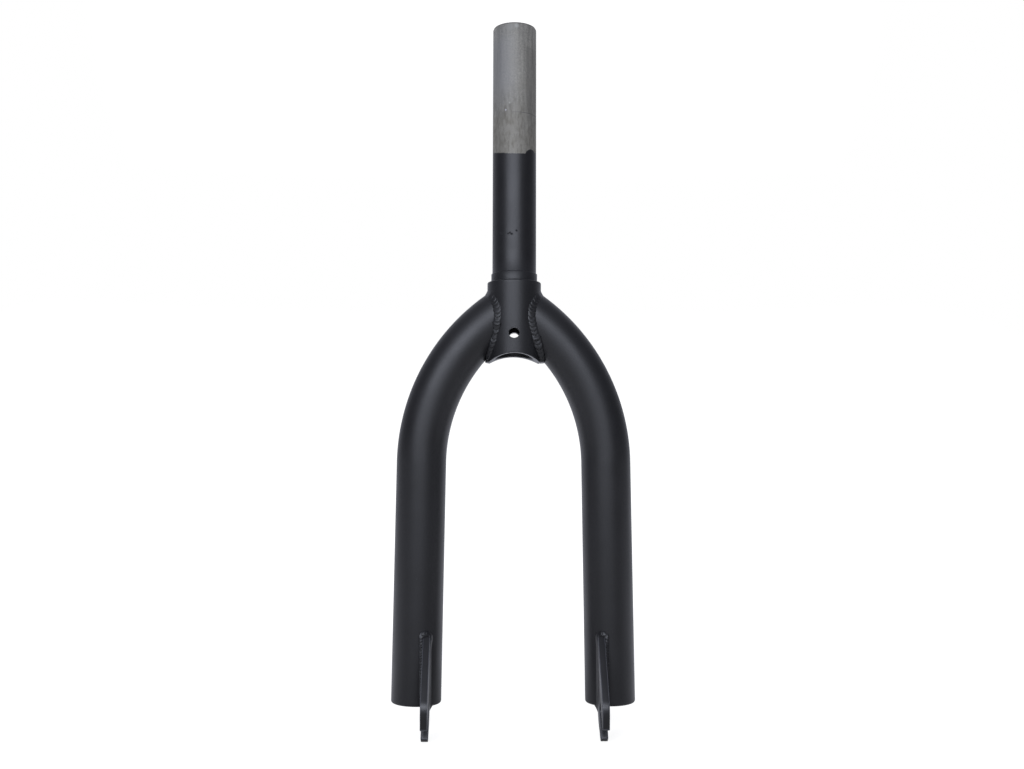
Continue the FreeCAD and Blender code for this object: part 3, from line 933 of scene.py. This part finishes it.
def crown_bead(side, seed):
    """The bead round a leg's mouth; the cosine of around is one at the top of the leg."""
    around = np.linspace(0, 2 * math.pi, SEAM_POINTS, endpoint=False)
    top = seam_run(around)
    seam = leg_surface(top, around)
    along = unit(np.roll(seam, -1, axis=0) - np.roll(seam, 1, axis=0))
    down_leg = away(leg_surface(top - LEG_STEP, around) - seam, along)
    barrel_out = unit(seam * (1, 1, 0))
    on_barrel = np.cross(along, barrel_out)
    on_barrel *= np.sign(np.sum(on_barrel * (seam - seam.mean(axis=0))))
    corner = np.arccos(np.clip(np.sum(down_leg * on_barrel, axis=-1), -1, 1))
    nugget_z, nugget_size, nugget_length = NUGGETS[side]
    front = seam[:, 1] < 0
    nugget = nugget_size * np.exp(-((seam[:, 2] - nugget_z) / nugget_length) ** 2) * front
    toe = np.minimum(CROWN_CHORD / 2 / np.sin(corner / 2), LONGEST_TOE) + NUGGET_SPREAD * nugget
    leg_toe = toe * np.interp(seam[:, 2], LEG_TOE_Z, LEG_TOE_SHARE[side])
    at_top = np.clip((np.cos(around) - TOP_FROM) / TOP_FADE, 0, 1)
    at_top = at_top ** 2 * (3 - 2 * at_top)
    swell = CROWN_SWELL - TOP_HOLLOW * at_top + NUGGET_SPREAD * nugget
    ripple = CROWN_RIPPLE * np.clip((RIPPLES_TO - np.cos(around)) / RIPPLES_FADE, 0, 1)
    points, faces = bead_points(seam, on_barrel, down_leg,
                                np.column_stack([toe, leg_toe, swell, ripple]), CROWN_PITCH, seed)
    points[:, 2] = np.maximum(points[:, 2], steerer_low[2] + BEAD_CLEARANCE)
    return make_mesh(f"{side}_crown_bead", mirrored(points, side), faces)


for seed, side in enumerate(("right", "left"), start=CROWN_SEED):
    dress(crown_bead(side, seed), paint, f"{side}_crown_weld")

# %% [markdown]
# ### Dropout beads
# A smaller bead ties each plate to the leg. It climbs the outer face of the plate in fine ripples,
# crosses over its top, where it left a lump or two, and comes down the inner face, where it flowed
# smooth. Under the cap, inside the plate, it is a full hollow fillet whose toe follows the cap's
# rounded rim. Then it passes behind the plate, back to where it began. The four numbers of a run
# are its reach on the plate and on the leg, its swell and the height of its ripples.

# %% Places and shapes of the dropout weld
DROPOUT_PITCH = 1.7
CORNER_SMOOTHING = 9
OUTER_RUN = (1.6, 2.5, 0.55, 0.20)
TOP_RUN = (1.2, 1.8, 0.1, 0.06)
INNER_RUN = (2.8, 1.3, 0.0, 0.01)
FOOT_RUNS = {"right": (4.6, 5.0, -0.7, 0.0), "left": (6.0, 5.6, -0.8, 0.0)}
REAR_RUN = (1.5, 1.5, 0.0, 0.02)
LUMPS = {"right": ((0.4, -0.3, 1.3), (1.0, 2.6, 0.5)), "left": ((0.45, 0.0, 1.0), (1.0, 2.5, 0.1))}
LUMP_SHAPE = (0.3, 2.0, 0.5, 0.10)
LUMP_RADIUS = 2.0


def leg_front(x, z):
    """Y of the leg's front face and the outward normal there, at a place on its lower run."""
    axis_x = leg_end_x + (z - cap_low[2]) * math.sin(LEG_SPLAY)
    beside = x - axis_x
    y = -math.sqrt(LEG_RADIUS ** 2 - beside ** 2)
    return y, np.array([beside, y, 0]) / LEG_RADIUS


def smoothed(values):
    """A closed path with its corners rounded by a moving average."""
    kernel = np.hanning(CORNER_SMOOTHING + 2)[1:-1]
    kernel /= kernel.sum()
    reach = CORNER_SMOOTHING // 2
    padded = np.vstack([values[-reach:], values, values[:reach]])
    return np.column_stack([np.convolve(column, kernel, mode="valid") for column in padded.T])


print("the leg's front, beside the plate, is at", round(leg_front(PLATE_X, plate_top)[0], 1))

# %% Dropout weld
RUN_POINTS = 40
TOP_POINTS = 10
FOOT_POINTS = 12
REAR_POINTS = 8
FOOT_OVERRUN = 1.5
TOE_BEHIND_EDGE = 0.4
RIM_MARGIN = 0.3
REAR_MARGIN = 0.6
DROPOUT_SEED = 21


def dropout_bead(side, seed):
    """One closed bead: up the outer face, over the top, down the inner face and under the cap."""
    outer = PLATE_X - PLATE_THICKNESS / 2
    inner = PLATE_X + PLATE_THICKNESS / 2
    bottom = cap_low[2]
    foot = bottom + CAP_ROUND
    blade_down = (0, -math.sin(SLOT_TILT), -math.cos(SLOT_TILT))
    rear_y = AXLE[1] + EYE_RADIUS / math.cos(SLOT_TILT) + math.tan(SLOT_TILT) * (bottom - AXLE[2])
    lumps = [(outer + share * PLATE_THICKNESS, plate_top - drop, size)
             for share, drop, size in LUMPS[side]]
    laid = []

    def lay(point, on_plate, on_leg, shape):
        """One place along the bead, fatter where a lump is near."""
        lump = sum(size * math.exp(-((point[0] - x) ** 2 + (point[2] - z) ** 2) / LUMP_RADIUS ** 2)
                   for x, z, size in lumps)
        laid.append(np.concatenate([point, on_plate, on_leg,
                                    np.array(shape) + lump * np.array(LUMP_SHAPE)]))

    def climb(x, heights, sign, shape):
        """A run up or down one face of the plate."""
        for z in heights:
            y, normal = leg_front(x, z)
            leaning = (z - AXLE[2]) * math.sin(SLOT_TILT)
            edge_y = AXLE[1] + (leaning - EYE_RADIUS) / math.cos(SLOT_TILT)
            toe = min(shape[0], y - edge_y - TOE_BEHIND_EDGE)
            lay((x, y, z), (0, -1, 0), (-normal[1] * sign, normal[0] * sign, 0),
                (toe,) + shape[1:])

    def under(x, sign, start, end, shape):
        """A run below the cap, beside the plate, whose toe follows the cap's rounded rim."""
        for y in np.linspace(start, end, FOOT_POINTS):
            rim = math.sqrt((LEG_RADIUS - RIM_MARGIN) ** 2 - y ** 2) + sign * (leg_end_x - x)
            reach = min(shape[1], rim)
            beyond = math.hypot(x + sign * reach - leg_end_x, y) - LEG_RADIUS + CAP_ROUND
            rise = CAP_ROUND - math.sqrt(CAP_ROUND ** 2 - max(0, beyond) ** 2)
            lay((x, y, bottom), blade_down, (sign * reach, 0, rise),
                (shape[0], math.hypot(reach, rise)) + shape[2:])

    climb(outer, np.linspace(foot, plate_top, RUN_POINTS), -1, OUTER_RUN)
    for x in np.linspace(outer, inner, TOP_POINTS)[1:-1]:
        lay((x, leg_front(x, plate_top)[0], plate_top), (0, -1, 0), (0, 0, 1), TOP_RUN)
    climb(inner, np.linspace(plate_top, foot, RUN_POINTS), 1, INNER_RUN)
    inner_rim = min(leg_front(inner, foot)[0] + CAP_ROUND, rear_y - REAR_MARGIN)
    under(inner, 1, inner_rim, rear_y + FOOT_OVERRUN, FOOT_RUNS[side])
    for x in np.linspace(inner, outer, REAR_POINTS)[1:-1]:
        lay((x, rear_y, bottom), blade_down, (0, 1, 0), REAR_RUN)
    outer_rim = min(leg_front(outer, foot)[0] + CAP_ROUND, rear_y - REAR_MARGIN)
    under(outer, -1, rear_y, outer_rim, REAR_RUN)
    path, first, second, shape = np.split(smoothed(np.array(laid, float)), [3, 6, 9], axis=1)
    points, faces = bead_points(path, first, second, shape, DROPOUT_PITCH, seed)
    return make_mesh(f"{side}_dropout_bead", mirrored(points, side), faces)


for seed, side in enumerate(("right", "left"), start=DROPOUT_SEED):
    dress(dropout_bead(side, seed), paint, f"{side}_dropout_weld")

# %% [markdown]
# ## Floor
# The picture has a plain white ground. The floor is a pale matt sheet under the fork's lowest
# point: near the fork it shows the soft shadow, and further off it fades to pure white, so that no
# horizon shows. In the gloss of the paint it is bright at the sides and behind the fork, and dim in
# front, which keeps the middle of the tubes dark. The floor and the lamp are set in metres, the
# unit that Blender itself uses.

# %% Pale floor
FLOOR_SIZE = 4.0
FLOOR_GAP = 0.0002
FLOOR_FADE = (0.12, 0.55)
FLOOR_SHOWN = (0.80, 1.0)
FLOOR_LIT_REACH = 0.2
FLOOR_LIT = (0.12, 1.0)
GLOW_SIDE = 0.6
GLOW_BACK = 0.8
PAPER = "b9b7b0"
SHEET_TINT = "eef1ff"
WHITE = "ffffff"


def side_and_back(tree, place):
    """How far a place or a direction lies to either side and to the back of the fork."""
    parts = add(tree, "ShaderNodeSeparateXYZ", Vector=place)
    side = add(tree, "ShaderNodeMath", {"operation": "ABSOLUTE"}, i0=parts.outputs["X"])
    back = add(tree, "ShaderNodeMath", {"operation": "MULTIPLY"}, i0=parts.outputs["Y"],
               i1=GLOW_BACK)
    total = add(tree, "ShaderNodeMath", {"operation": "MULTIPLY_ADD"}, i0=side.outputs["Value"],
                i1=GLOW_SIDE, i2=back.outputs["Value"])
    return total.outputs["Value"]


def floor_paper():
    """Matt paper, whose glow shows to the camera and in gloss but lights nothing else."""
    material, tree = new_material("white_paper_floor")
    place = add(tree, "ShaderNodeTexCoord").outputs["Object"]
    flat = add(tree, "ShaderNodeMapping", Vector=place, Scale=(1, 1, 0))
    off = add(tree, "ShaderNodeVectorMath", {"operation": "LENGTH"}, i0=flat.outputs["Vector"])
    fade = add(tree, "ShaderNodeMapRange", Value=off.outputs["Value"], From_Min=FLOOR_FADE[0],
               From_Max=FLOOR_FADE[1], To_Min=FLOOR_SHOWN[0], To_Max=FLOOR_SHOWN[1])
    ray = add(tree, "ShaderNodeLightPath")
    shown = add(tree, "ShaderNodeMath", {"operation": "MULTIPLY"}, i0=fade.outputs["Result"],
                i1=ray.outputs["Is Camera Ray"])
    lit = add(tree, "ShaderNodeMapRange", Value=side_and_back(tree, place), From_Min=0.0,
              From_Max=FLOOR_LIT_REACH, To_Min=FLOOR_LIT[0], To_Max=FLOOR_LIT[1])
    amount = add(tree, "ShaderNodeMath", {"operation": "MULTIPLY_ADD"}, i0=lit.outputs["Result"],
                 i1=ray.outputs["Is Glossy Ray"], i2=shown.outputs["Value"])
    tint = add(tree, "ShaderNodeMix", {"data_type": "RGBA"}, i0=ray.outputs["Is Camera Ray"],
               i6=linear(SHEET_TINT), i7=linear(WHITE))
    paper = add(tree, "ShaderNodeBsdfDiffuse", Color=linear(PAPER))
    glow = add(tree, "ShaderNodeEmission", Color=tint.outputs["Result"],
               Strength=amount.outputs["Value"])
    both = add(tree, "ShaderNodeAddShader", i0=paper.outputs["BSDF"], i1=glow.outputs["Emission"])
    add(tree, "ShaderNodeOutputMaterial", Surface=both.outputs["Shader"])
    return material


def pale_floor(height):
    """One large square, which is stage and not part of the fork."""
    half = FLOOR_SIZE / 2
    mesh = bpy.data.meshes.new("pale_floor")
    mesh.from_pydata([(-half, -half, height), (half, -half, height), (half, half, height),
                      (-half, half, height)], [], [(0, 1, 2, 3)])
    floor = bpy.data.objects.new("pale_floor", mesh)
    bpy.context.collection.objects.link(floor)
    mesh.materials.append(floor_paper())


floor_height = float(cad_box[0][2]) - FLOOR_GAP
pale_floor(floor_height)
print("floor at", round(floor_height, 4))

# %% [markdown]
# ## White surroundings
# The world is a white sheet that brightens towards the back, with a low glow at the sides and a
# faint ceiling. Satin paint mirrors most at a glancing angle, so the sheet behind the fork is what
# draws the thin light rims along the tubes. To the camera the world is white everywhere. The pairs
# are parts of a direction of length one: how far it points to the back, and how far up.

# %% World
SHEET_BACK = (0.15, 0.92)
SHEET_LIGHT = (0.03, 1.0)
LOW_UP = (0.14, -0.06)
LOW_GLOW = 0.26
CEILING_UP = (0.25, 1.0)
CEILING = 0.40


def white_surroundings():
    """A world whose strength depends on the direction, and is one to the camera."""
    world = bpy.data.worlds.new("white_sheet")
    bpy.context.scene.world = world
    world.use_nodes = True
    tree = world.node_tree
    tree.nodes.clear()
    toward = add(tree, "ShaderNodeTexCoord").outputs["Generated"]
    parts = add(tree, "ShaderNodeSeparateXYZ", Vector=toward)
    sheet = add(tree, "ShaderNodeMapRange", Value=parts.outputs["Y"], From_Min=SHEET_BACK[0],
                From_Max=SHEET_BACK[1], To_Min=SHEET_LIGHT[0], To_Max=SHEET_LIGHT[1])
    low = add(tree, "ShaderNodeMapRange", Value=parts.outputs["Z"], From_Min=LOW_UP[0],
              From_Max=LOW_UP[1], To_Min=0.0, To_Max=LOW_GLOW)
    beside = add(tree, "ShaderNodeMath", {"operation": "MAXIMUM"},
                 i0=side_and_back(tree, toward), i1=0.0)
    glowing = add(tree, "ShaderNodeMath", {"operation": "MULTIPLY_ADD"}, i0=low.outputs["Result"],
                  i1=beside.outputs["Value"], i2=sheet.outputs["Result"])
    ceiling = add(tree, "ShaderNodeMapRange", Value=parts.outputs["Z"], From_Min=CEILING_UP[0],
                  From_Max=CEILING_UP[1], To_Min=0.0, To_Max=CEILING)
    whole = add(tree, "ShaderNodeMath", {"operation": "ADD"}, i0=glowing.outputs["Value"],
                i1=ceiling.outputs["Result"])
    seen = add(tree, "ShaderNodeLightPath").outputs["Is Camera Ray"]
    strength = add(tree, "ShaderNodeMath", {"operation": "MAXIMUM"}, i0=whole.outputs["Value"],
                   i1=seen)
    tint = add(tree, "ShaderNodeMix", {"data_type": "RGBA"}, i0=seen, i6=linear(SHEET_TINT),
               i7=linear(WHITE))
    glow = add(tree, "ShaderNodeBackground", Color=tint.outputs["Result"],
               Strength=strength.outputs["Value"])
    add(tree, "ShaderNodeOutputWorld", Surface=glow.outputs["Background"])
    return world


print("world is", white_surroundings().name)

# %% [markdown]
# ## Studio light
# One wide soft box stands behind the camera, above it and a little to the left. It makes the broad
# bluish stripe down the middle of every tube, and the stripe fades towards the feet because they
# are further from the lamp. Area lamps are the natural choice for a soft box: their size sets the
# softness.

# %% Soft box
SOFT_BOX_PLACE = (-0.20, -1.25, 0.44)
SOFT_BOX_AIM = (0, 0, 0.0)
SOFT_BOX_SIZE = (1.50, 0.45)
SOFT_BOX_WATTS = 17.5
SOFT_BOX_TINT = "ecf1ff"


def soft_box(name):
    """A rectangle of light, turned so that it faces its aim."""
    data = bpy.data.lights.new(name, "AREA")
    data.shape = "RECTANGLE"
    data.size, data.size_y = SOFT_BOX_SIZE
    data.energy = SOFT_BOX_WATTS
    data.color = linear(SOFT_BOX_TINT)[:3]
    lamp = bpy.data.objects.new(name, data)
    bpy.context.collection.objects.link(lamp)
    back = unit(np.subtract(SOFT_BOX_PLACE, SOFT_BOX_AIM))
    right = unit(np.cross((0, 0, 1), back))
    turn_to = np.column_stack([right, np.cross(back, right), back])
    lamp.matrix_world = Matrix.Translation(SOFT_BOX_PLACE) @ Matrix(turn_to.tolist()).to_4x4()
    return lamp


print("lit by", soft_box("front_soft_box").name, "of", SOFT_BOX_WATTS, "W")

# %% [markdown]
# ## Camera
# The camera stands below the crown, about level with the upper part of the legs, and looks
# slightly up. Its place and turn were worked out from the outline of the tubes in the picture, so
# the render and the picture can be laid over each other.

# %% Camera
PICTURE_WIDTH = 1024
FOCAL_PIXELS = 1100.0
SENSOR_MM = 36.0
CAMERA_PLACE = (-18.588, -713.069, -119.473)
CAMERA_PITCH = math.radians(4.243)
CAMERA_YAW = math.radians(-1.390)
CAMERA_ROLL = math.radians(0.132)
NEAREST_MM = 10.0

camera_data = bpy.data.cameras.new("photo_camera")
camera_data.sensor_fit = "HORIZONTAL"
camera_data.sensor_width = SENSOR_MM
camera_data.lens = SENSOR_MM * FOCAL_PIXELS / PICTURE_WIDTH
camera_data.clip_start = NEAREST_MM * MM
camera = bpy.data.objects.new("photo_camera", camera_data)
bpy.context.collection.objects.link(camera)
bpy.context.scene.camera = camera
yaw = Matrix.Rotation(CAMERA_YAW, 4, "Z")
pitch = Matrix.Rotation(math.pi / 2 + CAMERA_PITCH, 4, "X")
roll = Matrix.Rotation(CAMERA_ROLL, 4, "Z")
stand = Matrix.Translation([value * MM for value in CAMERA_PLACE])
camera.matrix_world = stand @ yaw @ pitch @ roll
bpy.context.scene.view_settings.view_transform = "Standard"
print("camera lens", round(camera_data.lens, 2), "mm")
